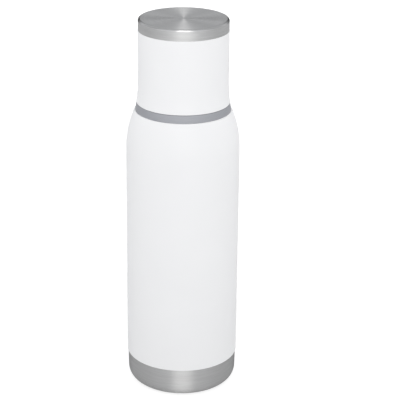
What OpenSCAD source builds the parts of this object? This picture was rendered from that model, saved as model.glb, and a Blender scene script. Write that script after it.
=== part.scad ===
// Vacuum flask with a screw stopper and a drinking cup for a lid.
// Millimetres, +Z up, origin at the centre of the foot.

/* [Body] */
// Outside diameter of the painted body
body_d = 93; // [90:0.5:105]
// Height of the bare steel base
base_h = 25.6; // [18:0.1:35]
// Height of the straight painted side
side_h = 182; // [120:1:240]
// Rise of the curved shoulder, up to the ledge that carries the collar
shoulder_h = 32.7; // [29:0.1:38]
// Rounding of the shoulder's upper edge
shoulder_edge_r = 0.8; // [0.7:0.05:1.4]
// Ledge left bare outside the collar
ledge_w = 0.35; // [0.2:0.05:1]
// Wall of the painted outer shell
shell_t = 0.5; // [0.4:0.05:0.65]

/* [Base] */
// Wall of the steel base
base_t = 0.6; // [0.4:0.05:1]
// How much the base narrows from the shell down to the foot, on the radius
base_draft = 0.35; // [0:0.05:1]
// Rounding of the base's lower corner
base_corner_r = 10; // [6:0.5:13]
// Width of the flat foot ring
foot_w = 6; // [3:0.5:8]
// Depth of the recess inside the foot ring
recess_h = 3; // [2:0.1:5]
// Sideways run of the recess's sloping wall
recess_slope = 1; // [0.4:0.1:3]
// How far the base reaches up inside the shell
base_lap_h = 8; // [4:0.5:14]
// Thickness of the plate in the recess
plate_t = 0.8; // [0.5:0.1:1.5]
// Diameter of the evacuation dimple
dimple_d = 9; // [7:0.5:14]
// Depth of the evacuation dimple
dimple_h = 2; // [1.4:0.1:3]
// How far the middle of the solder plug stands above its edge
solder_dome_h = 0.2; // [0.1:0.05:0.5]
// Width of the slope round the solder plug's top
solder_slope_w = 2; // [1:0.1:2.8]

/* [Vacuum liner] */
// Wall of the inner liner
liner_t = 0.5; // [0.4:0.05:0.8]
// Vacuum gap round the side
vacuum_gap = 5; // [3:0.1:8]
// Vacuum gap between the two necks
neck_vacuum_gap = 2.6; // [1.5:0.1:3.5]
// Vacuum gap under the liner
bottom_gap = 5; // [4.5:0.1:9]
// Height of the narrow throat under the stopper's seat
throat_h = 8; // [5:0.5:12]
// Step from the threaded neck in to the throat, which makes the stopper's seat
seat_step = 2.3; // [1.8:0.1:3.5]
// Rise of the dished liner bottom
dish_h = 2.5; // [1:0.1:5]
// Height of the liner bottom's rim
dish_rim_h = 6; // [4:0.5:10]
// Thickness of the radiation shield
shield_t = 0.2; // [0.1:0.05:0.5]
// Height of the radiation shield
shield_h = 180; // [100:1:185]
// Diameter of the getter pill
getter_d = 8; // [5:0.5:12]
// Height of the getter pill
getter_h = 2.2; // [1.5:0.1:2.8]
// Distance of the getter from the edge of the recess
getter_edge = 11; // [6:0.5:16]
// Wall of the getter's clip
clip_t = 0.4; // [0.3:0.05:0.8]

/* [Collar] */
// Height of the visible band
band_h = 6.4; // [4:0.1:10]
// How much wider the band is at its foot than at the cup's rim, on the radius
band_taper = 1; // [0.2:0.1:2]
// Wall of the threaded sleeve
sleeve_wall = 4.75; // [3.5:0.05:5.5]
// Radial thickness of the band's outer wall
band_wall = 2.4; // [1.5:0.1:3.4]
// Thickness of the web above the hollow under the band
band_web = 1.9; // [1.2:0.1:3]
// Height of the bead on the neck that the collar snaps over
snap_bead = 0.35; // [0.2:0.05:0.6]
// Distance of the bead above the ledge
snap_z = 9; // [7:0.5:14]
// How far the lip stands above the sleeve
lip_rise = 1; // [0.6:0.1:3]

/* [Cup] */
// Outside diameter of the cup's straight side
cup_d = 73.4; // [71:0.2:77]
// Height of the painted cup wall
cup_side_h = 59.6; // [50:0.1:90]
// How much wider the cup is at its rim, on the radius
cup_flare = 1.3; // [0.5:0.1:2]
// Height over which the cup flares
flare_h = 17.7; // [12:0.1:25]
// Wall of the painted cup shell
cup_shell_t = 0.5; // [0.4:0.05:0.7]
// Wall of the cup's plastic liner
cup_liner_t = 1.4; // [1:0.1:2]
// Air gap between shell and liner round the thread
cup_air = 1; // [0.8:0.1:1.6]
// Step from the threaded mouth in to the cup's inner wall
cup_step = 2.8; // [2:0.1:4]
// Rounding inside the bottom of the cup
cup_round = 5; // [2:0.5:10]
// Thickness of the liner's rim flange
rim_flange_t = 1.6; // [1.2:0.1:2.5]
// Visible height of the steel end cap
cap_h = 9.3; // [7:0.1:16]
// How far the end cap is set in from the painted wall
cap_inset = 0.2; // [0.1:0.05:0.3]
// Rounding of the end cap's edge
cap_edge_r = 1.6; // [1:0.1:4]
// Wall of the end cap
cap_t = 0.6; // [0.4:0.05:0.9]
// How far the end cap reaches down inside the shell
cap_lap_h = 6; // [3:0.5:10]
// Thickness of the insulation disc
cup_foam_h = 7; // [3:0.1:10]

/* [Threads] */
// Pitch of both threads
thread_pitch = 4; // [3.6:0.1:6]
// Turns of engaged thread, which is also the travel to unscrew
thread_turns = 1.25; // [0.75:0.05:1.75]
// Width of a thread ridge at its root
thread_root_w = 1.7; // [1.2:0.1:1.8]
// Width of a thread ridge at its crest
thread_crest_w = 0.9; // [0.5:0.1:1.1]
// Depth of the cup's thread
cup_thread_depth = 1.4; // [1.1:0.1:2]
// Depth of the stopper's thread
stopper_thread_depth = 1.25; // [1.05:0.05:1.6]
// Axial gap between the flanks that hold the lid down
flank_gap = 0.45; // [0.3:0.05:0.6]
// Plain length between the cup's rim and its thread
thread_lead_in = 0.4; // [0.2:0.1:2]

/* [Stopper] */
// Length of the plug from the flange down to the seal
plug_h = 20; // [18:0.5:24]
// Wall of the plug
plug_wall = 4.1; // [3.4:0.1:6]
// Thickness of the stopper's flange
flange_h = 2.4; // [1.5:0.1:4]
// How far the flange stays inside the edge of the lip
flange_inset = 0.6; // [0.2:0.1:2]
// Diameter of the grip knob
knob_d = 47; // [40:0.5:50]
// Height of the grip knob
knob_h = 8.5; // [6:0.5:12]
// Chamfer round the top of the knob
knob_edge = 1.4; // [0.6:0.1:2]
// Finger grips round the knob
knob_grips = 10; // [6:1:14]
// Radius of one finger grip
grip_r = 5; // [3:0.25:6]
// Depth of one finger grip
grip_depth = 1.8; // [0.8:0.1:2.5]
// Depth of a pour groove in the plug
groove_depth = 2; // [1:0.1:2.4]
// Radius of a pour groove
groove_r = 5; // [3:0.5:7]
// Height of the ring that seals on the seat
seal_h = 2.8; // [2:0.1:4]
// Radial thickness of that ring
seal_w = 2.3; // [1.8:0.1:2.8]
// Thickness of the cap under the plug
bottom_cap_h = 3.5; // [2:0.1:5]

/* [Washers] */
// Thickness of the loose washers
washer_t = 1.6; // [1:0.1:2.5]
// Inner radius of the cup's washer, measured out from the neck
washer_bore_gap = 1.5; // [0.6:0.1:2.5]
// Height of the ring between the cup's walls
rim_seal_h = 1.6; // [1:0.1:3]

/* [Fits] */
// Gap between pieces that are pressed or welded together
press_gap = 0.1; // [0.05:0.05:0.2]
// Gap between a moving piece and its flat seat
seat_gap = 0.2; // [0.1:0.05:0.4]
// Gap between pieces that turn or slide on each other
slide_gap = 0.3; // [0.2:0.05:0.5]
// Radial gap between the crest of a thread and the wall facing it
thread_fit = 0.5; // [0.35:0.05:0.7]
// Gap that keeps a loose washer clear of the thread below it
washer_clear = 0.4; // [0.3:0.1:1]
// Gap between the collar and the cup's rim
rim_gap = 0.3; // [0.2:0.05:0.6]
// Gap between the cap under the plug and the throat
throat_gap = 0.6; // [0.4:0.05:1.2]

/* [Hidden] */
$fn = 96;

ARC_STEPS = 14;
RIDGE_STEP = 12;
RIDGE_FADE = 24;
RIDGE_EMBED = 0.3;

// Radii, worked out from the cup's wall inwards so that every fit follows it
body_r = body_d / 2;
cup_r = cup_d / 2;
rim_r = cup_r + cup_flare;
cup_shell_in_r = cup_r - cup_shell_t;
mouth_out_r = cup_shell_in_r - cup_air;
cup_mouth_r = mouth_out_r - cup_liner_t;
cup_in_r = cup_mouth_r - cup_step;
sleeve_crest_r = cup_mouth_r - thread_fit;
sleeve_r = sleeve_crest_r - cup_thread_depth;
collar_bore_r = sleeve_r - sleeve_wall;
neck_r = collar_bore_r - press_gap;
neck_in_r = neck_r - shell_t;
liner_neck_r = neck_in_r - neck_vacuum_gap;
neck_bore_r = liner_neck_r - liner_t;
throat_r = neck_bore_r - seat_step;
plug_crest_r = neck_bore_r - thread_fit;
plug_r = plug_crest_r - stopper_thread_depth;
plug_bore_r = plug_r - plug_wall;
liner_r = body_r - shell_t - vacuum_gap;
liner_in_r = liner_r - liner_t;
base_r = body_r - shell_t - press_gap;

// Heights, from the foot upwards
thread_rise = thread_pitch * thread_turns;
thread_offset = (thread_root_w + thread_crest_w) / 2 + flank_gap;
shoulder_z = base_h + side_h;
ledge_z = shoulder_z + shoulder_h;
rim_z = ledge_z + band_h + rim_gap;
cup_thread_z = rim_z + seat_gap + thread_lead_in + thread_root_w / 2;
washer_z = cup_thread_z + thread_rise + thread_root_w / 2 + thread_rise + washer_clear;
sleeve_z = washer_z - seat_gap;
cup_step_z = washer_z + washer_t + seat_gap;
lip_z = sleeve_z + lip_rise;
gasket_z = lip_z + seat_gap;
flange_z = gasket_z + washer_t + seat_gap;
plug_thread_z = gasket_z - thread_rise - washer_clear - thread_root_w / 2 - thread_rise;
plug_end_z = flange_z - plug_h;
seal_z = plug_end_z - press_gap - seal_h;
bottom_cap_z = seal_z - press_gap - bottom_cap_h;
knob_z = flange_z + flange_h;
cap_z = rim_z + cup_side_h;
top_z = cap_z + cap_h;
cup_foam_z = top_z - cap_t - press_gap - cup_foam_h;
cup_roof_z = cup_foam_z - press_gap;
liner_z = recess_h + base_t + bottom_gap;
shield_z = liner_z + (shoulder_z - liner_z - shield_h) / 2;

// The ring under the plug sits slide_gap off a seat that slopes at 45 degrees
seal_r = plug_r;
seal_bore_r = seal_r - seal_w;
seat_z = seal_z - (seal_r - throat_r) - slide_gap * sqrt(2);

// The shoulder is one arc, tangent to the straight side and to the rounding of the ledge's edge
band_foot_r = rim_r + band_taper;
edge_r = band_foot_r + ledge_w;
edge_z = ledge_z - shoulder_edge_r;
shoulder_in = body_r - edge_r;
shoulder_up = edge_z - shoulder_z;
shoulder_arc_r =
    (shoulder_in ^ 2 + shoulder_up ^ 2 - shoulder_edge_r ^ 2) / (2 * (shoulder_in - shoulder_edge_r));
shoulder_angle = atan2(shoulder_up, edge_r - body_r + shoulder_arc_r);

// The cup's foot flares along one arc, tangent to its straight side
flare_z = rim_z + flare_h;
flare_arc_r = (flare_h ^ 2 + cup_flare ^ 2) / (2 * cup_flare);
function cup_wall_r(z) =
    z >= flare_z ? cup_r : cup_r + flare_arc_r - sqrt(flare_arc_r ^ 2 - (flare_z - z) ^ 2);

function arc(centre, r, from, to) = [
    for (i = [0 : ARC_STEPS])
        let (a = from + (to - from) * i / ARC_STEPS)
        centre + r * [cos(a), sin(a)]
];
function reversed(points) = [for (i = [len(points) - 1 : -1 : 0]) points[i]];

module turned(outside, inside = []) {
    rotate_extrude() polygon(concat(outside, reversed(inside)));
}

module ring(in_r, out_r, z, h) {
    turned([[in_r, z], [out_r, z], [out_r, z + h], [in_r, z + h]]);
}

// One thread ridge: a trapezium swept along a right-hand helix, sinking into its wall at both ends
function ridge_ring(a, wall_r, depth, way, z) =
    let (
        sweep = 360 * thread_turns,
        share = min(1, a / RIDGE_FADE, (sweep - a) / RIDGE_FADE),
        root = wall_r - way * RIDGE_EMBED,
        crest = wall_r + way * ((depth + RIDGE_EMBED / 2) * share - RIDGE_EMBED / 2),
        up = z + thread_pitch * a / 360,
        section = [
            [root, up - thread_root_w / 2], [crest, up - thread_crest_w / 2],
            [crest, up + thread_crest_w / 2], [root, up + thread_root_w / 2]
        ]
    )
    [for (p = way > 0 ? section : reversed(section)) [p[0] * cos(a), p[0] * sin(a), p[1]]];

module thread_ridge(wall_r, depth, way, z) {
    rings = ceil(360 * thread_turns / RIDGE_STEP);
    step = 360 * thread_turns / rings;
    points = [for (i = [0 : rings]) each ridge_ring(i * step, wall_r, depth, way, z)];
    last = 4 * rings;
    sides = [
        for (i = [0 : rings - 1], k = [0 : 3])
            let (p = 4 * i + k, q = 4 * i + (k + 1) % 4)
            each [[p, q, q + 4], [p, q + 4, p + 4]]
    ];
    ends = [[3, 2, 1], [3, 1, 0], [last, last + 1, last + 2], [last, last + 2, last + 3]];
    polyhedron(points, concat(sides, ends));
}

// Painted steel body: straight side, curved shoulder, ledge and the neck with its snap bead
function shell_wall(inset) = concat(
    [[body_r - inset, base_h]],
    arc([body_r - shoulder_arc_r, shoulder_z], shoulder_arc_r - inset, 0, shoulder_angle),
    arc([edge_r, edge_z], shoulder_edge_r - inset, shoulder_angle, 90),
    [[neck_r - inset, ledge_z - inset]]
);

module outer_shell() {
    bead_z = ledge_z + snap_z;
    bead = [
        [neck_r, bead_z - 2 * snap_bead], [neck_r + snap_bead, bead_z - snap_bead],
        [neck_r + snap_bead, bead_z + snap_bead], [neck_r, bead_z + 2 * snap_bead]
    ];
    color("white")
        turned(
            concat(shell_wall(0), bead, [[neck_r, lip_z - liner_t]]),
            concat(shell_wall(shell_t), [[neck_in_r, lip_z - liner_t]])
        );
}

// Bare steel base: lap inside the shell, drafted side, foot ring, recess and evacuation dimple
foot_r = base_r - base_draft - base_corner_r;
recess_r = foot_r - foot_w;
dimple_r = dimple_d / 2;
function base_wall(inset) = concat(
    [
        [base_r - inset, base_h + base_lap_h], [base_r - inset, base_h],
        [base_r - base_draft - inset, base_corner_r]
    ],
    arc([foot_r, base_corner_r], base_corner_r - inset, 0, -90),
    [
        [recess_r, inset], [recess_r - recess_slope, recess_h + inset],
        [dimple_r + recess_slope / 2, recess_h + inset], [dimple_r, recess_h + dimple_h + inset],
        [0, recess_h + dimple_h + inset]
    ]
);

module base_cup() {
    color("silver") turned(base_wall(0), base_wall(base_t));
}

module base_plate() {
    color("lightgray")
        ring(0, recess_r - recess_slope - slide_gap, recess_h - press_gap - plate_t, plate_t);
}

module evacuation_seal() {
    solder_r = dimple_r - slide_gap;
    solder_z = recess_h + dimple_h - press_gap;
    color("darkslategray")
        turned([
            [0, recess_h], [solder_r, recess_h], [solder_r, solder_z - solder_dome_h],
            [solder_r - solder_slope_w, solder_z], [0, solder_z]
        ]);
}

// Getter pill in a small steel clip on the floor of the vacuum space
clip_z = recess_h + base_t;
getter_x = recess_r - getter_edge;

module getter_clip() {
    clip_r = getter_d / 2 + press_gap + clip_t;
    color("gray")
        translate([getter_x, 0, 0])
        turned([
            [0, clip_z], [clip_r, clip_z],
            [clip_r, clip_z + getter_h], [clip_r - clip_t, clip_z + getter_h],
            [clip_r - clip_t, clip_z + clip_t], [0, clip_z + clip_t]
        ]);
}

module getter() {
    color("dimgray")
        translate([getter_x, 0, 0])
        ring(0, getter_d / 2, clip_z + clip_t + press_gap, getter_h);
}

// Steel liner: tube, round shoulder, throat, conical seat, threaded neck and the lip over both necks
liner_round = liner_r - throat_r - liner_t;
liner_shoulder_z = seat_z - throat_h - liner_round;
function liner_wall(inset) = concat(
    [[liner_r - inset, liner_z]],
    arc([throat_r + liner_t, liner_shoulder_z], liner_round - inset, 0, 90),
    [
        [throat_r + liner_t - inset, seat_z], [liner_neck_r - inset, seat_z + seat_step],
        [liner_neck_r - inset, lip_z - liner_t + inset]
    ]
);

module inner_liner() {
    color("gainsboro")
        union() {
            turned(
                concat(liner_wall(0), [[neck_r, lip_z - liner_t], [neck_r, lip_z]]),
                liner_wall(liner_t)
            );
            thread_ridge(neck_bore_r, stopper_thread_depth, -1, plug_thread_z + thread_offset);
        }
}

module liner_bottom() {
    out_r = liner_in_r - press_gap;
    rim_top = liner_z + dish_rim_h;
    dish = [
        for (i = [0 : ARC_STEPS])
            let (r = (out_r - liner_t) * (1 - i / ARC_STEPS))
            [r, liner_z + dish_h * (1 - (r / out_r) ^ 2)]
    ];
    color("gainsboro")
        turned(
            concat([[out_r - liner_t, rim_top], [out_r, rim_top], [out_r, liner_z]], dish),
            concat([[out_r - liner_t, rim_top]], [for (p = dish) p + [0, liner_t]])
        );
}

module radiation_shield() {
    color("peru") ring(liner_r + press_gap, liner_r + press_gap + shield_t, shield_z, shield_h);
}

// Grey collar: visible band, hollow underneath, and the threaded sleeve snapped over the neck
module neck_collar() {
    bead_z = ledge_z + snap_z;
    groove = snap_bead + press_gap;
    band_top = ledge_z + band_h;
    color("darkgray")
        union() {
            turned([
                [collar_bore_r, ledge_z], [sleeve_r, ledge_z],
                [sleeve_r, band_top - band_web], [rim_r - band_wall, band_top - band_web],
                [band_foot_r - band_wall, ledge_z], [band_foot_r, ledge_z],
                [rim_r, band_top], [sleeve_r, band_top],
                [sleeve_r, sleeve_z], [collar_bore_r, sleeve_z],
                [collar_bore_r, bead_z + snap_bead + groove],
                [collar_bore_r + snap_bead, bead_z + groove],
                [collar_bore_r + snap_bead, bead_z - groove],
                [collar_bore_r, bead_z - snap_bead - groove]
            ]);
            thread_ridge(sleeve_r, cup_thread_depth, 1, cup_thread_z + thread_offset);
        }
}

// Stopper: loose washer on the lip, sealing ring, plug with pour grooves, knob, insulation, bottom cap
module stopper_gasket() {
    color("dimgray") ring(plug_r + thread_fit, neck_r - flange_inset, gasket_z, washer_t);
}

module stopper_plug_seal() {
    color("dimgray") ring(seal_bore_r, seal_r, seal_z, seal_h);
}

module stopper_body() {
    nose_r = seal_bore_r - slide_gap;
    color("slategray")
        difference() {
            union() {
                turned([
                    [plug_bore_r, seal_z], [nose_r, seal_z], [nose_r, plug_end_z], [plug_r, plug_end_z],
                    [plug_r, flange_z], [neck_r - flange_inset, flange_z],
                    [neck_r - flange_inset, knob_z], [plug_bore_r, knob_z]
                ]);
                thread_ridge(plug_r, stopper_thread_depth, 1, plug_thread_z);
            }
            for (side = [-1, 1])
                translate([0, side * (plug_r + groove_r - groove_depth), plug_end_z - seal_h])
                cylinder(r = groove_r, h = flange_z - plug_end_z + seal_h);
        }
}

module stopper_cover() {
    knob_r = knob_d / 2;
    knob_top = knob_z + knob_h;
    color("slategray")
        difference() {
            turned([
                [0, flange_z], [plug_bore_r - press_gap, flange_z],
                [plug_bore_r - press_gap, knob_z], [knob_r, knob_z],
                [knob_r, knob_top - knob_edge], [knob_r - knob_edge, knob_top],
                [0, knob_top]
            ]);
            for (i = [0 : knob_grips - 1])
                rotate(360 * (i + 0.5) / knob_grips)
                translate([knob_r + grip_r - grip_depth, 0, knob_z + knob_edge])
                cylinder(r = grip_r, h = knob_h);
        }
}

module stopper_foam() {
    color("wheat")
        ring(0, plug_bore_r - press_gap, plug_end_z, flange_z - press_gap - plug_end_z);
}

module stopper_bottom() {
    bottom_cap_r = throat_r - throat_gap;
    spigot_r = plug_bore_r - press_gap;
    color("slategray")
        turned([
            [0, bottom_cap_z], [bottom_cap_r, bottom_cap_z],
            [bottom_cap_r, bottom_cap_z + bottom_cap_h], [spigot_r, bottom_cap_z + bottom_cap_h],
            [spigot_r, plug_end_z - press_gap], [0, plug_end_z - press_gap]
        ]);
}

// Cup: loose washer on the collar, ring between the walls, painted shell, liner, insulation, end cap
module cup_washer() {
    color("dimgray") ring(neck_r + washer_bore_gap, cup_mouth_r - thread_fit, washer_z, washer_t);
}

rim_flange_z = rim_z + seat_gap;
rim_seal_z = rim_flange_z + rim_flange_t + slide_gap;

module cup_liner_seal() {
    color("dimgray")
        ring(
            mouth_out_r + slide_gap,
            cup_wall_r(rim_seal_z + rim_seal_h) - cup_shell_t - slide_gap,
            rim_seal_z,
            rim_seal_h
        );
}

module cup_shell() {
    foot = [for (i = [0 : ARC_STEPS]) let (z = rim_z + flare_h * i / ARC_STEPS) [cup_wall_r(z), z]];
    wall = concat(foot, [[cup_r, cap_z]]);
    color("white") turned(wall, [for (p = wall) p - [cup_shell_t, 0]]);
}

module cup_liner() {
    flange_top = rim_flange_z + rim_flange_t;
    flange_r = cup_wall_r(flange_top) - cup_shell_t - press_gap;
    out_r = cup_in_r + cup_liner_t;
    ceiling_z = cup_roof_z - cup_liner_t;
    round_centre = [cup_in_r - cup_round, ceiling_z - cup_round];
    color("whitesmoke")
        union() {
            turned(
                concat(
                    [
                        [cup_mouth_r, rim_flange_z], [flange_r, rim_flange_z],
                        [flange_r, flange_top], [mouth_out_r, flange_top],
                        [mouth_out_r, cup_step_z + cup_liner_t], [out_r, cup_step_z + cup_liner_t]
                    ],
                    arc(round_centre, cup_round + cup_liner_t, 0, 90),
                    [[0, cup_roof_z]]
                ),
                concat(
                    [[cup_mouth_r, cup_step_z], [cup_in_r, cup_step_z]],
                    arc(round_centre, cup_round, 0, 90),
                    [[0, ceiling_z]]
                )
            );
            thread_ridge(cup_mouth_r, cup_thread_depth, -1, cup_thread_z);
        }
}

cap_lap_r = cup_shell_in_r - press_gap;

// The insulation's upper edge is cut off where the end cap rounds over it
module cup_foam() {
    foam_r = cap_lap_r - cap_t - slide_gap;
    foam_top = cup_foam_z + cup_foam_h;
    chamfer = cap_edge_r - cap_t;
    color("wheat")
        turned([
            [0, cup_foam_z], [foam_r, cup_foam_z],
            [foam_r, foam_top - chamfer], [foam_r - chamfer, foam_top], [0, foam_top]
        ]);
}

module cup_end_cap() {
    cap_r = cup_r - cap_inset;
    lap_in_r = cap_lap_r - cap_t;
    function cap_wall(inset) = concat(
        [[cap_r - inset, cap_z]],
        arc([cap_r - cap_edge_r, top_z - cap_edge_r], cap_edge_r - inset, 0, 90),
        [[0, top_z - inset]]
    );
    color("silver")
        turned(
            concat([[cap_lap_r, cap_z - cap_lap_h], [cap_lap_r, cap_z]], cap_wall(0)),
            concat([[lap_in_r, cap_z - cap_lap_h], [lap_in_r, cap_z + cap_t]], cap_wall(cap_t))
        );
}

outer_shell();
base_cup();
base_plate();
evacuation_seal();
getter_clip();
getter();
inner_liner();
liner_bottom();
radiation_shield();
neck_collar();
stopper_gasket();
stopper_plug_seal();
stopper_body();
stopper_cover();
stopper_foam();
stopper_bottom();
cup_washer();
cup_liner_seal();
cup_shell();
cup_liner();
cup_foam();
cup_end_cap();
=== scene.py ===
import math

import bpy
from mathutils import Matrix, Vector


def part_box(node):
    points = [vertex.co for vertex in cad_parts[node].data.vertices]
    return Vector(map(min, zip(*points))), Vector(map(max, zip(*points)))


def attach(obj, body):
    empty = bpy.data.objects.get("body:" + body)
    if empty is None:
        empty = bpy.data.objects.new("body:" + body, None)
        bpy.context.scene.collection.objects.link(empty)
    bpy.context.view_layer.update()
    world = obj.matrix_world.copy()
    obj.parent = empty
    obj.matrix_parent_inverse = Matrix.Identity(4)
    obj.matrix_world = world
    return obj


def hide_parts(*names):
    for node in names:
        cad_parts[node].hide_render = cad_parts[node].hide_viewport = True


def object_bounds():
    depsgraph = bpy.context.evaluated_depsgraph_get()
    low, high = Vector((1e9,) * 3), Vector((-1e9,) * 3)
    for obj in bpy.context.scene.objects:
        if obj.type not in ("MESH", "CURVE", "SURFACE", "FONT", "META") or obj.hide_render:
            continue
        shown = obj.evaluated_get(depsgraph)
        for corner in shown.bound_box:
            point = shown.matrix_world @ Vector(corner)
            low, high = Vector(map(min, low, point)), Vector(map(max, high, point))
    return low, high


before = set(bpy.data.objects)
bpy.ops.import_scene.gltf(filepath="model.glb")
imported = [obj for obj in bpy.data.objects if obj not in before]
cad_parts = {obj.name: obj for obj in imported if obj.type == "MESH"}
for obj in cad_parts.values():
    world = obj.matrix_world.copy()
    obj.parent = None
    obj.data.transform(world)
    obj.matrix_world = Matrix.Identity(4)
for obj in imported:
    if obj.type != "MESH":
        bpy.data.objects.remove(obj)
cad_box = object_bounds()


# Inner bottle: a drawn stainless tube with a round shoulder, a narrow throat with a conical seat,
# and a neck with a rolled thread. Its lip folds out over the shell's neck and is welded there.
# The inside is electropolished and the outside brushed, but the whole piece takes the one
# electropolished finish.
MM = 0.001
INSIDE_STEPS = 160
SAME_POINT = 0.002 * MM
SLIVER = 0.01 * MM
SHARP_EDGE = math.radians(30)
THREAD_PITCH = 4 * MM
THREAD_TURNS = 1.25
THREAD_ROOT_W = 1.7 * MM
THREAD_CREST_W = 0.9 * MM
THREAD_FADE = math.radians(24)
THREAD_TIP = 0.1
THREAD_EDGE = 0.15 * MM
THREAD_EMBED = 0.3 * MM
THREAD_STEPS = 150
THREAD_ABOVE = 1.75 * MM
ROUND_AXIS = 0.25


def arc(centre_r, centre_z, radius, start, end, count=16):
    """Round stretch of an outline, between two angles in degrees."""
    angles = [math.radians(start + (end - start) * i / count) for i in range(count + 1)]
    return [(centre_r + radius * math.cos(a), centre_z + radius * math.sin(a)) for a in angles]


def drawn_outline(name, outline):
    """Lone vertex pulled along an outline of (radius, height) points, as edges in the XZ plane."""
    bpy.ops.object.select_all(action="DESELECT")
    bpy.ops.mesh.primitive_plane_add(size=MM)
    piece = bpy.context.object
    piece.name = name
    piece.data.name = name
    bpy.ops.object.mode_set(mode="EDIT")
    bpy.ops.mesh.select_all(action="SELECT")
    bpy.ops.mesh.merge(type="CENTER")
    here = (0, 0)
    for index, (r, z) in enumerate(outline):
        step = (r - here[0], 0, z - here[1])
        if index:
            bpy.ops.mesh.extrude_vertices_move(TRANSFORM_OT_translate={"value": step})
        else:
            bpy.ops.transform.translate(value=step)
        here = (r, z)
    return piece


def turned(name, outline, steps=192):
    """Wall spun round the axis from its closed outline, which may start and end on the axis."""
    if outline[0][0] > 0:
        outline = [*outline, outline[0]]
    piece = drawn_outline(name, outline)
    bpy.ops.mesh.select_all(action="SELECT")
    bpy.ops.mesh.spin(steps=steps, angle=2 * math.pi, center=(0, 0, 0), axis=(0, 0, 1))
    bpy.ops.mesh.select_all(action="SELECT")
    bpy.ops.mesh.remove_doubles(threshold=SAME_POINT)
    bpy.ops.mesh.normals_make_consistent(inside=False)
    bpy.ops.object.mode_set(mode="OBJECT")
    return piece


def picked(piece):
    """Selects one piece alone and makes it the active one."""
    bpy.ops.object.select_all(action="DESELECT")
    piece.select_set(True)
    bpy.context.view_layer.objects.active = piece


def eased(piece, width, segments=2, smooth_below=40):
    """Breaks a piece's sharp edges as deburring or a mould does, and shades it smoothly."""
    picked(piece)
    if width:
        bevel = piece.modifiers.new("eased_edges", "BEVEL")
        bevel.width = width
        bevel.segments = segments
        bevel.limit_method = "ANGLE"
        bevel.angle_limit = SHARP_EDGE
        bpy.ops.object.modifier_apply(modifier=bevel.name)
    bpy.ops.object.shade_smooth_by_angle(angle=math.radians(smooth_below))
    return piece


def joined(piece, other, operation):
    """Unites a piece with another solid or cuts it out, and clears the slivers that this leaves."""
    picked(piece)
    boolean = piece.modifiers.new(operation.lower(), "BOOLEAN")
    boolean.operation = operation
    boolean.solver = "EXACT"
    boolean.object = other
    bpy.ops.object.modifier_apply(modifier=boolean.name)
    bpy.data.objects.remove(other)
    bpy.ops.object.mode_set(mode="EDIT")
    bpy.ops.mesh.select_all(action="SELECT")
    bpy.ops.mesh.remove_doubles(threshold=SLIVER)
    bpy.ops.mesh.dissolve_degenerate(threshold=SLIVER)
    bpy.ops.object.mode_set(mode="OBJECT")
    return piece


def threaded(piece, wall_r, depth, z):
    """Adds one right-hand thread ridge to a wall, outwards or, with a depth below 0, inwards."""
    root_r = wall_r - math.copysign(THREAD_EMBED, depth)
    crest_r = wall_r + depth
    ridge = drawn_outline("thread_ridge", [
        (root_r, z - THREAD_ROOT_W / 2), (crest_r, z - THREAD_CREST_W / 2),
        (crest_r, z + THREAD_CREST_W / 2), (root_r, z + THREAD_ROOT_W / 2),
        (root_r, z - THREAD_ROOT_W / 2),
    ])
    bpy.ops.mesh.select_all(action="SELECT")
    bpy.ops.mesh.remove_doubles(threshold=SAME_POINT)
    bpy.ops.object.mode_set(mode="OBJECT")
    sweep = 2 * math.pi * THREAD_TURNS
    screw = ridge.modifiers.new("helix", "SCREW")
    screw.angle = sweep
    screw.screw_offset = THREAD_PITCH * THREAD_TURNS
    screw.steps = THREAD_STEPS
    screw.render_steps = THREAD_STEPS
    screw.use_smooth_shade = False
    bpy.ops.object.modifier_apply(modifier=screw.name)
    for vertex in ridge.data.vertices:
        x, y, height = vertex.co
        angle = math.atan2(y, x) % (2 * math.pi)
        angle += 2 * math.pi * round((height - z) / THREAD_PITCH - angle / (2 * math.pi))
        share = max(0, min(1, angle / THREAD_FADE, (sweep - angle) / THREAD_FADE))
        r = math.hypot(x, y)
        sunk_r = root_r + (r - root_r) * (THREAD_TIP + (1 - THREAD_TIP) * share)
        vertex.co = (x * sunk_r / r, y * sunk_r / r, height)
    bpy.ops.object.mode_set(mode="EDIT")
    bpy.ops.mesh.select_all(action="DESELECT")
    bpy.ops.mesh.select_non_manifold()
    bpy.ops.mesh.fill()
    bpy.ops.mesh.select_all(action="SELECT")
    bpy.ops.mesh.normals_make_consistent(inside=False)
    bpy.ops.object.mode_set(mode="OBJECT")
    eased(ridge, THREAD_EDGE)
    joined(piece, ridge, "UNION")
    return eased(piece, 0)


def node(tree, kind, inputs=None, **settings):
    """One shader node with its settings, each input either a value or a link from another node."""
    made = tree.nodes.new("ShaderNode" + kind)
    for name, value in settings.items():
        setattr(made, name, value)
    for socket, value in (inputs or {}).items():
        if isinstance(value, bpy.types.NodeSocket):
            tree.links.new(value, made.inputs[socket])
        else:
            made.inputs[socket].default_value = value
    return made


def number(tree, operation, *values):
    """Result of a sum on numbers."""
    return node(tree, "Math", dict(enumerate(values)), operation=operation).outputs["Value"]


def vector(tree, operation, inputs):
    """Result of a sum on vectors."""
    return node(tree, "VectorMath", inputs, operation=operation).outputs["Vector"]


def new_material(name, **constants):
    """Material with its principled shader, and what is the same all over set on its sockets."""
    material = bpy.data.materials.new(name)
    material.use_nodes = True
    shader = material.node_tree.nodes["Principled BSDF"]
    for socket, value in constants.items():
        shader.inputs[socket.replace("_", " ")].default_value = value
    return material, material.node_tree, shader


def ramp(tree, factor, *stops):
    """Colours between which a pattern moves, each with its place along the pattern."""
    made = node(tree, "ValToRGB", {"Fac": factor})
    marks = made.color_ramp.elements
    for mark, (place, colour) in zip(marks, (stops[0], stops[-1])):
        mark.position = place
        mark.color = (*colour, 1)
    for place, colour in stops[1:-1]:
        marks.new(place).color = (*colour, 1)
    return made.outputs["Color"]


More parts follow.
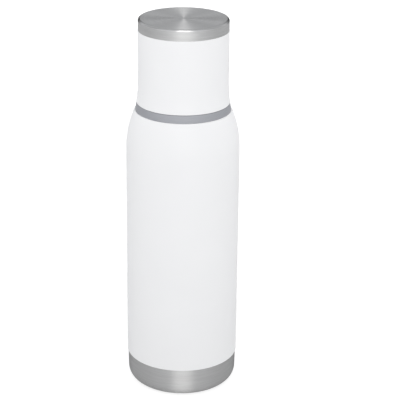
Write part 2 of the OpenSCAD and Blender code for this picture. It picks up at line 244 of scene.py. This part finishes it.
def spread(tree, factor, low, high):
    """Pattern of 0 to 1 moved to the numbers between low and high."""
    return node(tree, "MapRange", {"Value": factor, "To Min": low, "To Max": high}).outputs["Result"]


def speckle(tree, scale, detail=2, roughness=0.5):
    """Noise all over a piece, with about scale patches to the metre."""
    place = node(tree, "TexCoord").outputs["Object"]
    return node(tree, "TexNoise", {
        "Vector": place, "Scale": scale, "Detail": detail, "Roughness": roughness,
    }).outputs["Fac"]


def brushing(tree, line_w, run, slope):
    """Fine lines round the flask's axis, line_w wide, that fade in and out along their run.

    Slope is +1 where the wall turns inwards at its foot and -1 where it turns inwards at its top.
    """
    place = node(tree, "TexCoord").outputs["Object"]
    flat = vector(tree, "MULTIPLY", {0: place, 1: (1, 1, 0)})
    radius = node(tree, "VectorMath", {0: flat}, operation="LENGTH").outputs["Value"]
    around = vector(tree, "NORMALIZE", {0: flat})
    height = node(tree, "SeparateXYZ", {0: place}).outputs["Z"]
    across = number(tree, "MULTIPLY_ADD", radius, slope, height)
    lines = number(tree, "MULTIPLY", across, 1 / line_w)
    ends = vector(tree, "SCALE", {0: around, "Scale": run})
    level = node(tree, "CombineXYZ", {"Z": lines}).outputs["Vector"]
    where = vector(tree, "ADD", {0: ends, 1: level})
    return node(tree, "TexNoise", {
        "Vector": where, "Scale": 1, "Detail": 5, "Roughness": 0.65,
    }).outputs["Fac"]


def bumped(tree, shader, height, depth, strength):
    """Relief of a pattern on the shader's normal."""
    bump = node(tree, "Bump", {"Height": height, "Distance": depth, "Strength": strength})
    tree.links.new(bump.outputs["Normal"], shader.inputs["Normal"])


def liner_steel():
    """Electropolished steel: soft spinning lines and a few cloudy patches."""
    material, tree, shader = new_material(
        "liner_steel", Metallic=1, Anisotropic=0.4, Anisotropic_Rotation=ROUND_AXIS,
    )
    lines = brushing(tree, 0.5 * MM, 2, 1)
    clouds = speckle(tree, 60, 3)
    colour = ramp(tree, clouds, (0.3, (0.56, 0.56, 0.57)), (0.7, (0.64, 0.64, 0.64)))
    tree.links.new(colour, shader.inputs["Base Color"])
    tree.links.new(spread(tree, lines, 0.2, 0.34), shader.inputs["Roughness"])
    bumped(tree, shader, lines, 0.01 * MM, 0.3)
    return material


LINER_STEEL = liner_steel()
liner_low, liner_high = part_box("inner_liner")
liner_t = 0.5 * MM
liner_r = liner_high.x
lip_z = liner_high.z
throat_r = 21.15 * MM
neck_bore_r = 23.45 * MM
neck_r = 27.05 * MM
throat_h = 8 * MM
seal_up = 0.97 * MM
plug_thread_depth = 1.25 * MM
plug_thread_down = 11.25 * MM
liner_edge = 0.12 * MM
seat_step = neck_bore_r - throat_r
seat_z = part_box("stopper_plug_seal")[0].z - seal_up
liner_round = liner_r - throat_r - liner_t
liner_shoulder_z = seat_z - throat_h - liner_round


def liner_wall(inset):
    """The liner's outside, or its inside one wall further in, from its foot up to the lip."""
    return [
        (liner_r - inset, liner_low.z),
        *arc(throat_r + liner_t, liner_shoulder_z, liner_round - inset, 0, 90, 24),
        (throat_r + liner_t - inset, seat_z),
        (neck_bore_r + liner_t - inset, seat_z + seat_step),
        (neck_bore_r + liner_t - inset, lip_z - liner_t + inset),
    ]


lip = [(neck_r, lip_z - liner_t), (neck_r, lip_z)]
inner_bottle = turned(
    "inner_bottle", liner_wall(0) + lip + liner_wall(liner_t)[::-1], INSIDE_STEPS,
)
plug_thread_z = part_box("stopper_gasket")[0].z - plug_thread_down
eased(inner_bottle, liner_edge)
threaded(inner_bottle, neck_bore_r, -plug_thread_depth, plug_thread_z + THREAD_ABOVE)
inner_bottle.data.materials.append(LINER_STEEL)
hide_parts("inner_liner")
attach(inner_bottle, "bottle")


# Pieces in the vacuum: the dished bottom welded into the liner, the copper sheet round it that turns
# heat back, and the getter pill in its clip, which traps the last of the gas. The solder-glass plug
# closes the hole that the air was drawn out of.
def refinished(node_name, material):
    """Gives a carried-over piece its finish."""
    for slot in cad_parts[node_name].material_slots:
        slot.material = material


def copper_sheet():
    """Thin rolled copper: vertical roll marks and a little tarnish."""
    material, tree, shader = new_material("copper_sheet", Metallic=1)
    place = node(tree, "TexCoord").outputs["Object"]
    rolled = node(tree, "Mapping", {"Vector": place, "Scale": (900, 900, 12)}).outputs["Vector"]
    marks = node(tree, "TexNoise", {"Vector": rolled, "Scale": 1, "Detail": 3}).outputs["Fac"]
    tarnish = speckle(tree, 45, 4)
    colour = ramp(tree, tarnish, (0.3, (0.62, 0.33, 0.22)), (0.7, (0.76, 0.46, 0.33)))
    tree.links.new(colour, shader.inputs["Base Color"])
    tree.links.new(spread(tree, marks, 0.2, 0.4), shader.inputs["Roughness"])
    return material


def sintered_getter():
    """Pressed metal powder: dark, dull and grainy."""
    material, tree, shader = new_material("sintered_getter", Metallic=0.6)
    grains = speckle(tree, 6000, 4)
    colour = ramp(tree, grains, (0.3, (0.1, 0.1, 0.1)), (0.7, (0.3, 0.3, 0.31)))
    tree.links.new(colour, shader.inputs["Base Color"])
    tree.links.new(spread(tree, grains, 0.6, 0.85), shader.inputs["Roughness"])
    bumped(tree, shader, grains, 0.05 * MM, 0.6)
    return material


def solder_glass():
    """Dark green glass that melted into the evacuation hole."""
    material, tree, shader = new_material("solder_glass", Transmission_Weight=0.3, IOR=1.6)
    swirl = speckle(tree, 700)
    colour = ramp(tree, swirl, (0.3, (0.05, 0.08, 0.07)), (0.7, (0.16, 0.21, 0.18)))
    tree.links.new(colour, shader.inputs["Base Color"])
    tree.links.new(spread(tree, swirl, 0.05, 0.16), shader.inputs["Roughness"])
    return material


refinished("liner_bottom", LINER_STEEL)
refinished("getter_clip", LINER_STEEL)
refinished("radiation_shield", copper_sheet())
refinished("getter", sintered_getter())
refinished("evacuation_seal", solder_glass())


# Outer shell: one drawn steel tube with a straight side, a long round shoulder, a flat ledge for the
# collar and a neck with a snap bead. It is powder coated satin white, baked on as a skin with the
# faint orange peel of such a coat, and its lower edge is rounded where the coat wraps round it.
shell_low, shell_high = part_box("outer_shell")
collar_low, collar_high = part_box("neck_collar")
OUTSIDE_STEPS = 224
shell_t = 0.5 * MM
side_h = 182 * MM
body_r = shell_high.x
side_foot_z = shell_low.z
shoulder_z = side_foot_z + side_h
ledge_z = collar_low.z
ledge_w = 0.35 * MM
edge_round = 0.8 * MM
coat_round = 0.24 * MM
bead_h = 0.35 * MM
bead_up = 9 * MM
bead_z = ledge_z + bead_up
ledge_r = collar_high.x + ledge_w
shoulder_in = body_r - ledge_r
shoulder_up = ledge_z - edge_round - shoulder_z
shoulder_r = shoulder_in ** 2 + shoulder_up ** 2 - edge_round ** 2
shoulder_r /= 2 * (shoulder_in - edge_round)
shoulder_turn = math.degrees(math.atan2(shoulder_up, ledge_r - body_r + shoulder_r))
neck_top_z = shell_high.z


def white_coat():
    """Satin white powder coat: even colour, fine orange peel and small changes of gloss."""
    material, tree, shader = new_material("white_coat", Specular_IOR_Level=0.4, Diffuse_Roughness=1)
    peel = speckle(tree, 1100, 3, 0.45)
    drift = speckle(tree, 25)
    colour = ramp(tree, drift, (0.25, (0.869, 0.87, 0.877)), (0.75, (0.882, 0.883, 0.889)))
    tree.links.new(colour, shader.inputs["Base Color"])
    tree.links.new(spread(tree, peel, 0.42, 0.54), shader.inputs["Roughness"])
    bumped(tree, shader, peel, 0.03 * MM, 0.25)
    return material


def shell_wall(inset):
    """The shell's outside, or its inside one wall further in, from the shoulder up to the ledge."""
    return [
        *arc(body_r - shoulder_r, shoulder_z, shoulder_r - inset, 0, shoulder_turn, 32),
        *arc(ledge_r, ledge_z - edge_round, edge_round - inset, shoulder_turn, 90, 8),
        (neck_r - inset, ledge_z - inset),
    ]


WHITE_COAT = white_coat()
bead = [(neck_r, bead_z - 2 * bead_h), (neck_r + bead_h, bead_z - bead_h)]
bead += [(neck_r + bead_h, bead_z + bead_h), (neck_r, bead_z + 2 * bead_h)]
white_shell = turned("white_shell", [
    *arc(body_r - coat_round, side_foot_z + coat_round, coat_round, -90, 0, 6),
    *shell_wall(0), *bead, (neck_r, neck_top_z),
    (neck_r - shell_t, neck_top_z), *shell_wall(shell_t)[::-1], (body_r - shell_t, side_foot_z),
], OUTSIDE_STEPS)
eased(white_shell, 0)
white_shell.data.materials.append(WHITE_COAT)
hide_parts("outer_shell")
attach(white_shell, "bottle")


# Steel base: a deep-drawn cup pushed up inside the shell and welded there, left bare and brushed
# round the axis. Its side draws in a little towards the foot, the lower corner is round, and
# underneath it has a flat foot ring round a recess with the evacuation dimple in the middle.
base_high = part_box("base_cup")[1]
base_t = 0.6 * MM
base_r = base_high.x
base_draft = 0.35 * MM
base_corner = 10 * MM
foot_r = base_r - base_draft - base_corner
foot_w = 6 * MM
recess_r = foot_r - foot_w
recess_h = 3 * MM
recess_slope = 1 * MM
dimple_r = 4.5 * MM
dimple_h = 2 * MM


def brushed_steel(name, slope, shade, edge_tint, smooth, rough, grain=0.95):
    """Bare stainless brushed round the axis: fine streaks change its gloss, shade and relief."""
    # edge_tint darkens the steel's reflections at grazing angles; set near black, it paints them
    # dark.
    material, tree, shader = new_material(
        name, Metallic=1, Anisotropic=grain, Anisotropic_Rotation=ROUND_AXIS,
        Specular_Tint=(edge_tint, edge_tint, edge_tint, 1),
    )
    fine = brushing(tree, 0.12 * MM, 4, slope)
    broad = brushing(tree, 0.9 * MM, 1.5, slope)
    streaks = number(tree, "MULTIPLY", number(tree, "ADD", fine, broad), 0.5)
    dark, light = 0.84 * shade, 1.16 * shade
    colour = ramp(tree, streaks, (0.3, (dark, dark, dark)), (0.7, (light, light, light)))
    tree.links.new(colour, shader.inputs["Base Color"])
    tree.links.new(spread(tree, streaks, smooth, rough), shader.inputs["Roughness"])
    bumped(tree, shader, fine, 0.01 * MM, 0.35)
    return material


def base_wall(inset):
    """The base's outside, or its inside one wall further in, from its upper edge to the axis."""
    return [
        (base_r - inset, base_high.z),
        (base_r - inset, side_foot_z),
        *arc(foot_r, base_corner, base_corner - inset, 0, -90, 14),
        (recess_r, inset),
        (recess_r - recess_slope, recess_h + inset),
        (dimple_r + recess_slope / 2, recess_h + inset),
        (dimple_r, recess_h + dimple_h + inset),
        (0, recess_h + dimple_h + inset),
    ]


# Painted shade: the base's near-black edge tint darkens its sides towards the silhouette, where it
# reflects at grazing angles.
BASE_STEEL = brushed_steel("base_steel", 1, 0.52, 0.05, 0.44, 0.56)
steel_base = turned("steel_base", [*base_wall(base_t)[::-1], *base_wall(0)], OUTSIDE_STEPS)
eased(steel_base, 0)
steel_base.data.materials.append(BASE_STEEL)
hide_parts("base_cup")
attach(steel_base, "bottle")


# Base plate: a thin brushed disc that snaps into the recess and hides the evacuation dimple. A ring
# is pressed into it for stiffness, and its edge is rolled.
plate_low, plate_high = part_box("base_plate")
plate_r = plate_high.x
ring_r = 20 * MM
ring_w = 2.4 * MM
ring_depth = 0.35 * MM
plate_edge = 0.3 * MM

base_disc = turned("base_disc", [
    (0, plate_low.z),
    (ring_r - ring_w, plate_low.z),
    *arc(ring_r, plate_low.z, ring_depth, 180, 0, 10),
    *arc(plate_r - plate_edge, plate_low.z + plate_edge, plate_edge, -90, 0, 5),
    (plate_r, plate_high.z),
    (0, plate_high.z),
], INSIDE_STEPS)
eased(base_disc, 0)
base_disc.data.materials.append(BASE_STEEL)
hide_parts("base_plate")
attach(base_disc, "bottle")


# Collar: a satin grey moulding with a metallic tint that snaps over the neck. Only its tapered band
# shows under the closed cup; the sleeve above it carries the cup's thread, and the band is hollow.
band_h = 6.4 * MM
band_top = ledge_z + band_h
band_foot_r = collar_high.x
band_top_r = 38 * MM
band_wall = 2.4 * MM
band_web = 1.9 * MM
band_edge = 0.25 * MM
sleeve_r = 31.9 * MM
sleeve_z = collar_high.z
fit = 0.1 * MM
collar_bore_r = neck_r + fit
groove = bead_h + fit
cup_thread_depth = 1.4 * MM
cup_thread_up = 1.25 * MM


def grey_plastic():
    """Satin grey moulding with fine metallic flake and the faint lines of its turned mould."""
    material, tree, shader = new_material("grey_plastic", Metallic=0.1, Specular_IOR_Level=0.35)
    flake = speckle(tree, 5000)
    lines = brushing(tree, 0.4 * MM, 3, -1)
    mixed = number(tree, "MULTIPLY_ADD", flake, 0.4, lines)
    colour = ramp(tree, mixed, (0.45, (0.345, 0.352, 0.38)), (0.95, (0.405, 0.412, 0.44)))
    tree.links.new(colour, shader.inputs["Base Color"])
    tree.links.new(spread(tree, lines, 0.5, 0.62), shader.inputs["Roughness"])
    bumped(tree, shader, flake, 0.01 * MM, 0.2)
    return material


grey_collar = turned("grey_collar", [
    (collar_bore_r, ledge_z),
    (sleeve_r, ledge_z),
    (sleeve_r, band_top - band_web),
    (band_top_r - band_wall, band_top - band_web),
    (band_foot_r - band_wall, ledge_z),
    (band_foot_r, ledge_z),
    (band_top_r, band_top),
    (sleeve_r, band_top),
    (sleeve_r, sleeve_z),
    (collar_bore_r, sleeve_z),
    (collar_bore_r, bead_z + bead_h + groove),
    (collar_bore_r + bead_h, bead_z + groove),
    (collar_bore_r + bead_h, bead_z - groove),
    (collar_bore_r, bead_z - bead_h - groove),
])
cup_thread_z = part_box("cup_liner")[0].z + cup_thread_up
eased(grey_collar, band_edge)
threaded(grey_collar, sleeve_r, cup_thread_depth, cup_thread_z + THREAD_ABOVE)
grey_collar.data.materials.append(grey_plastic())
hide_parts("neck_collar")
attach(grey_collar, "bottle")


# Stopper: a dark grey screw plug with a flange and two pour grooves, filled with insulating foam.
# The knob is welded over it and the cap below it holds the sealing ring on its nose.
flange_low, flange_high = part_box("stopper_body")
knob_low, knob_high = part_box("stopper_cover")
flange_r = flange_high.x
flange_z = knob_low.z
knob_z = flange_high.z
nose_z = flange_low.z
plug_r = 21.7 * MM
plug_bore_r = 17.6 * MM
plug_edge = 0.2 * MM
plug_end_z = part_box("stopper_plug_seal")[1].z + fit
nose_r = 19.1 * MM
groove_r = 5 * MM
groove_depth = 2 * MM
knob_r = knob_high.x
knob_edge = 1.4 * MM
KNOB_STEPS = 240
knob_grips = 10
grip_r = 5 * MM
grip_depth = 1.8 * MM
grip_edge = 0.3 * MM
SCOOP_SIDES = 64


def moulded_plastic(name, dark, light, rough_low, rough_high, grain):
    """Moulded plastic with a fine spark-eroded grain."""
    material, tree, shader = new_material(name, Specular_IOR_Level=0.45)
    grains = speckle(tree, 1 / grain, 3)
    flow = speckle(tree, 40)
    tree.links.new(ramp(tree, flow, (0.3, dark), (0.7, light)), shader.inputs["Base Color"])
    tree.links.new(spread(tree, grains, rough_low, rough_high), shader.inputs["Roughness"])
    bumped(tree, shader, grains, 0.03 * MM, 0.4)
    return material


def scooped(piece, radius, x, y, z, height):
    """Cuts an upright round scoop out of a piece's side."""
    bpy.ops.object.select_all(action="DESELECT")
    bpy.ops.mesh.primitive_cylinder_add(
        vertices=SCOOP_SIDES, radius=radius, depth=height, location=(x, y, z),
    )
    joined(piece, bpy.context.object, "DIFFERENCE")


STOPPER_PLASTIC = moulded_plastic(
    "stopper_plastic", (0.16, 0.165, 0.18), (0.2, 0.205, 0.22), 0.4, 0.55, 0.3 * MM,
)

screw_plug = turned("screw_plug", [
    (plug_bore_r, nose_z), (nose_r, nose_z), (nose_r, plug_end_z), (plug_r, plug_end_z),
    (plug_r, flange_z), (flange_r, flange_z), (flange_r, knob_z), (plug_bore_r, knob_z),
], INSIDE_STEPS)
threaded(screw_plug, plug_r, plug_thread_depth, plug_thread_z)
groove_at = plug_r + groove_r - groove_depth
for side in (-1, 1):
    middle_z = (flange_z + nose_z) / 2
    scooped(screw_plug, groove_r, 0, side * groove_at, middle_z, flange_z - nose_z)
eased(screw_plug, plug_edge)
screw_plug.data.materials.append(STOPPER_PLASTIC)
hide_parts("stopper_body")
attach(screw_plug, "stopper")

knob = turned("knob", [
    (0, flange_z), (plug_bore_r - fit, flange_z), (plug_bore_r - fit, knob_z), (knob_r, knob_z),
    (knob_r, knob_high.z - knob_edge),
    *arc(knob_r - knob_edge, knob_high.z - knob_edge, knob_edge, 0, 90, 8),
    (0, knob_high.z),
], KNOB_STEPS)
grip_at = knob_r + grip_r - grip_depth
grip_z = (knob_high.z + knob_z) / 2 + knob_edge
for grip in range(knob_grips):
    turn = 2 * math.pi * (grip + 0.5) / knob_grips
    x, y = grip_at * math.cos(turn), grip_at * math.sin(turn)
    scooped(knob, grip_r, x, y, grip_z, knob_high.z - knob_z)
eased(knob, grip_edge)
knob.data.materials.append(STOPPER_PLASTIC)
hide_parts("stopper_cover")
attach(knob, "stopper")

cap_low, cap_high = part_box("stopper_bottom")
cap_edge = 0.4 * MM
cap_step_z = cap_low.z + 3.5 * MM
plug_cap = turned("plug_cap", [
    (0, cap_low.z), (cap_high.x, cap_low.z), (cap_high.x, cap_step_z),
    (plug_bore_r - fit, cap_step_z), (plug_bore_r - fit, cap_high.z), (0, cap_high.z),
], INSIDE_STEPS)
eased(plug_cap, cap_edge, 3)
plug_cap.data.materials.append(STOPPER_PLASTIC)
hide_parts("stopper_bottom")
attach(plug_cap, "stopper")


def insulating_foam():
    """Closed-cell foam: pale, matt and full of small bubbles."""
    material, tree, shader = new_material("insulating_foam")
    place = node(tree, "TexCoord").outputs["Object"]
    cells = node(tree, "TexVoronoi", {"Vector": place, "Scale": 1300}).outputs["Distance"]
    colour = ramp(tree, cells, (0.1, (0.88, 0.85, 0.76)), (0.7, (0.72, 0.68, 0.57)))
    tree.links.new(colour, shader.inputs["Base Color"])
    tree.links.new(spread(tree, cells, 0.75, 0.95), shader.inputs["Roughness"])
    bumped(tree, shader, cells, 0.2 * MM, 0.5)
    return material


FOAM = insulating_foam()
refinished("stopper_foam", FOAM)


# Silicone rings: two loose flat washers, one on the lip and one on the collar, the ring on the
# plug's nose that seals on the seat, and the ring that closes the gap between the cup's two walls.
def silicone():
    """Soft silicone: dull, slightly dusty and a little uneven."""
    material, tree, shader = new_material("silicone", Specular_IOR_Level=0.35)
    dust = speckle(tree, 900, 4)
    colour = ramp(tree, dust, (0.3, (0.29, 0.3, 0.31)), (0.7, (0.35, 0.36, 0.37)))
    tree.links.new(colour, shader.inputs["Base Color"])
    tree.links.new(spread(tree, dust, 0.55, 0.75), shader.inputs["Roughness"])
    bumped(tree, shader, dust, 0.03 * MM, 0.3)
    return material


SILICONE = silicone()
silicone_rings = {
    "stopper_gasket": (22.2 * MM, 0.5 * MM),
    "stopper_plug_seal": (19.4 * MM, 0.8 * MM),
    "cup_washer": (28.55 * MM, 0.5 * MM),
    "cup_liner_seal": (35.5 * MM, 0.4 * MM),
}
for ring_node, (bore_r, round_r) in silicone_rings.items():
    low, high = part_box(ring_node)
    ring = turned(ring_node + "_ring", [
        (bore_r, low.z), (high.x, low.z), (high.x, high.z), (bore_r, high.z),
    ], INSIDE_STEPS)
    eased(ring, round_r, 4)
    ring.data.materials.append(SILICONE)
    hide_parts(ring_node)
    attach(ring, ring_node)


# Cup liner: the moulded inside of the cup, with the internal thread in its wide mouth and a flange
# that closes the rim. It is pale plastic with a fine grain, and foam lies on its roof.
cup_low, cup_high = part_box("cup_liner")
cup_rim_z = cup_low.z
cup_roof_z = cup_high.z
cup_liner_t = 1.4 * MM
cup_mouth_r = 33.8 * MM
cup_in_r = 31 * MM
cup_flange_r = cup_high.x
cup_flange_t = 1.6 * MM
cup_flange_top = cup_rim_z + cup_flange_t
washer_gap = 0.2 * MM
cup_step_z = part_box("cup_washer")[1].z + washer_gap
cup_edge = 0.2 * MM
cup_round = 5 * MM
cup_ceiling_z = cup_roof_z - cup_liner_t
round_at = (cup_in_r - cup_round, cup_ceiling_z - cup_round)

cup_inside = turned("cup_inside", [
    (0, cup_ceiling_z),
    *arc(*round_at, cup_round, 90, 0, 12),
    (cup_in_r, cup_step_z),
    (cup_mouth_r, cup_step_z),
    (cup_mouth_r, cup_rim_z),
    (cup_flange_r, cup_rim_z),
    (cup_flange_r, cup_flange_top),
    (cup_mouth_r + cup_liner_t, cup_flange_top),
    (cup_mouth_r + cup_liner_t, cup_step_z + cup_liner_t),
    (cup_in_r + cup_liner_t, cup_step_z + cup_liner_t),
    *arc(*round_at, cup_round + cup_liner_t, 0, 90, 12),
    (0, cup_roof_z),
], INSIDE_STEPS)
eased(cup_inside, cup_edge)
threaded(cup_inside, cup_mouth_r, -cup_thread_depth, cup_thread_z)
cup_inside.data.materials.append(
    moulded_plastic("cup_plastic", (0.74, 0.74, 0.73), (0.8, 0.8, 0.79), 0.4, 0.55, 0.35 * MM)
)
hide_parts("cup_liner")
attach(cup_inside, "cup")
refinished("cup_foam", FOAM)


# Cup shell: the white outer wall of the cup, a drawn steel tube that flares a little down to its
# rim, coated like the body. Both of its edges are rounded where the coat wraps round them.
wall_low, wall_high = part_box("cup_shell")
cup_shell_t = 0.5 * MM
cup_r = 36.7 * MM
rim_r = wall_high.x
flare_h = 17.7 * MM
cup_flare = rim_r - cup_r
flare_r = (flare_h ** 2 + cup_flare ** 2) / (2 * cup_flare)
flare_turn = math.degrees(math.asin(flare_h / flare_r))
flare_at = (cup_r + flare_r, wall_low.z + flare_h)

white_cup = turned("white_cup", [
    *arc(rim_r - coat_round, wall_low.z + coat_round, coat_round, -90, 0, 6),
    *arc(*flare_at, flare_r, 180 + flare_turn, 180, 16)[1:],
    *arc(cup_r - coat_round, wall_high.z - coat_round, coat_round, 0, 90, 6),
    (cup_r - cup_shell_t, wall_high.z),
    *arc(*flare_at, flare_r + cup_shell_t, 180, 180 + flare_turn, 16),
], OUTSIDE_STEPS)
eased(white_cup, 0)
white_cup.data.materials.append(WHITE_COAT)
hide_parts("cup_shell")
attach(white_cup, "cup")


# Cup end: a bare steel cap pressed into the top of the cup shell, brushed round its side and in
# rings on its flat end, with a round buffed edge whose grazing reflections are painted dark. The
# step at its foot stops it against the shell.
end_low, end_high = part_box("cup_end_cap")
end_t = 0.6 * MM
end_r = 36.5 * MM
end_edge = 1.6 * MM
end_z = wall_high.z
lap_r = cup_r - cup_shell_t - fit


def end_wall(inset):
    """The cap's outside, or its inside one wall further in, from its foot up to the axis."""
    return [
        (end_r - inset, end_z + inset),
        *arc(end_r - end_edge, end_high.z - end_edge, end_edge - inset, 0, 90, 14),
        (0, end_high.z - inset),
    ]


cup_end = turned("cup_end", [
    *end_wall(end_t)[::-1],
    (lap_r - end_t, end_z + end_t), (lap_r - end_t, end_low.z), (lap_r, end_low.z), (lap_r, end_z),
    *end_wall(0),
], OUTSIDE_STEPS)
eased(cup_end, 0)
# Painted light: the flat end, the buffed edge and the side are one steel, but each takes its own
# shade, set to match how it is lit; the side is also brushed hazier, and the edge is smoother. The
# edge's near-black edge tint paints its grazing reflections dark.
cup_end.data.materials.append(brushed_steel("end_steel", -1, 0.545, 0.8, 0.44, 0.56))
cup_end.data.materials.append(brushed_steel("buffed_edge_painted_dark", -1, 0.58, 0.02, 0.26, 0.34))
cup_end.data.materials.append(brushed_steel("end_side_steel", -1, 0.505, 0.6, 0.5, 0.6, 0.62))
for face in cup_end.data.polygons:
    x, y, z = face.center
    if math.hypot(x, y) > end_r - end_edge:
        face.material_index = 1 if z > end_high.z - end_edge else 2
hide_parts("cup_end_cap")
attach(cup_end, "cup")


# Studio: a round sheet of pale paper that glows so that it reads as white, to the camera and in
# the steel, but for a painted shadow round the foot where its glow fades out; the paper is also
# painted darker near the flask. Softboxes stand above, in front and low behind, in a pale room
# that is dimmer at its sides and has one dim panel behind.
FLOOR_R = 1.8
floor_glow = 0.78
painted_foot_shadow_w = 3 * MM
painted_mirrored_shadow_w = 26 * MM
side_level = 0.56
panel_level = 0.68
panel_at = Vector((0, 0.93, 0.37)).normalized()

bpy.ops.object.select_all(action="DESELECT")
bpy.ops.mesh.primitive_circle_add(vertices=128, radius=FLOOR_R, fill_type="NGON")
floor = bpy.context.object
floor.name = "floor"
paper, paper_tree, paper_shader = new_material("white_paper", Roughness=0.9, Specular_IOR_Level=0)
floor_place = node(paper_tree, "TexCoord").outputs["Object"]
distance = node(paper_tree, "VectorMath", {0: floor_place}, operation="LENGTH").outputs["Value"]
# Painted shade: the paper is darker within about half a metre of the flask, which dims the light it
# throws up onto the flask's lower body; the fine speckle is the paper's own fibre.
painted_shade_and_fibre = number(paper_tree, "MULTIPLY_ADD", speckle(paper_tree, 300), 0.04, distance)
paper_colour = ramp(paper_tree, painted_shade_and_fibre, (0.15, (0.39,) * 3), (0.55, (0.5,) * 3))
paper_tree.links.new(paper_colour, paper_shader.inputs["Base Color"])
ray = node(paper_tree, "LightPath").outputs
mirrored = number(paper_tree, "ADD", ray["Is Glossy Ray"], ray["Is Transmission Ray"])


def floor_light(seen, painted_shadow_w):
    """Floor glow in one kind of ray, fading out in a painted shadow of that width round the foot."""
    pool = node(paper_tree, "MapRange", {
        "Value": distance, "From Min": foot_r, "From Max": foot_r + painted_shadow_w, "To Max": floor_glow,
    }).outputs["Result"]
    return number(paper_tree, "MULTIPLY", seen, pool)


# Painted shadow: the floor's glow fades to nothing within 3 mm of the foot for the camera, and
# within 26 mm in reflections.
direct = floor_light(ray["Is Camera Ray"], painted_foot_shadow_w)
glow = number(paper_tree, "ADD", direct, floor_light(mirrored, painted_mirrored_shadow_w))
paper_shader.inputs["Emission Color"].default_value = (1, 1, 1, 1)
paper_tree.links.new(glow, paper_shader.inputs["Emission Strength"])
floor.data.materials.append(paper)

room = bpy.data.worlds.new("room")
bpy.context.scene.world = room
room.use_nodes = True
room_tree = room.node_tree
sky = room_tree.nodes["Background"]
sky.inputs["Color"].default_value = (0.97, 0.982, 1, 1)
towards = node(room_tree, "TexCoord").outputs["Generated"]
behind = node(room_tree, "SeparateXYZ", {0: towards}).outputs["Y"]
depth = node(room_tree, "MapRange", {
    "Value": behind, "From Min": -1, "From Max": 1,
}).outputs["Result"]
walls = ramp(
    room_tree, depth, (0.16, (1,) * 3),
    (0.4, (side_level,) * 3), (0.66, (side_level,) * 3), (0.8, (1,) * 3),
)
facing = node(room_tree, "VectorMath", {0: towards, 1: panel_at}, operation="DOT_PRODUCT")
panel = node(room_tree, "MapRange", {
    "Value": facing.outputs["Value"], "From Min": 0.93, "From Max": 0.98,
}).outputs["Result"]
room_tree.links.new(spread(room_tree, panel, walls, panel_level), sky.inputs["Strength"])


def softbox(name, place, target, width, length, watts):
    """Rectangular softbox that faces a point."""
    lamp = bpy.data.lights.new(name, "AREA")
    lamp.shape = "RECTANGLE"
    lamp.size = width
    lamp.size_y = length
    lamp.energy = watts
    lamp.color = (1, 0.987, 0.967)
    holder = bpy.data.objects.new(name, lamp)
    holder.location = place
    holder.rotation_euler = (Vector(target) - Vector(place)).to_track_quat("-Z", "Y").to_euler()
    holder.visible_camera = False
    bpy.context.scene.collection.objects.link(holder)


flask_middle = (0, 0, (cad_box[0].z + cad_box[1].z) / 2)
softbox("upper_softbox", (0, -1.3, 1.45), flask_middle, 0.8, 0.7, 4.6)
softbox("front_softbox", (0.08, -1.9, 0.5), flask_middle, 1.4, 0.8, 7.6)
softbox("back_softbox", (0, 2, 0.16), flask_middle, 0.9, 0.28, 9)


# Camera: at the photograph's viewing angle, a long lens that looks down on the flask.
CAMERA_BACK = 1171.3 * MM
CAMERA_UP = 622.4 * MM
CAMERA_TILT = math.radians(21.505)
CAMERA_ASIDE = math.radians(0.705)
CAMERA_ROLL = math.radians(0.604)

view = bpy.data.cameras.new("camera")
view.sensor_width = 36
view.lens = 136.4
camera = bpy.data.objects.new("camera", view)
camera.matrix_world = (
    Matrix.Translation((0, -CAMERA_BACK, CAMERA_UP))
    @ Matrix.Rotation(-CAMERA_ASIDE, 4, "Z")
    @ Matrix.Rotation(math.pi / 2 - CAMERA_TILT, 4, "X")
    @ Matrix.Rotation(CAMERA_ROLL, 4, "Z")
)
bpy.context.scene.collection.objects.link(camera)
bpy.context.scene.camera = camera
bpy.context.scene.view_settings.view_transform = "Standard"
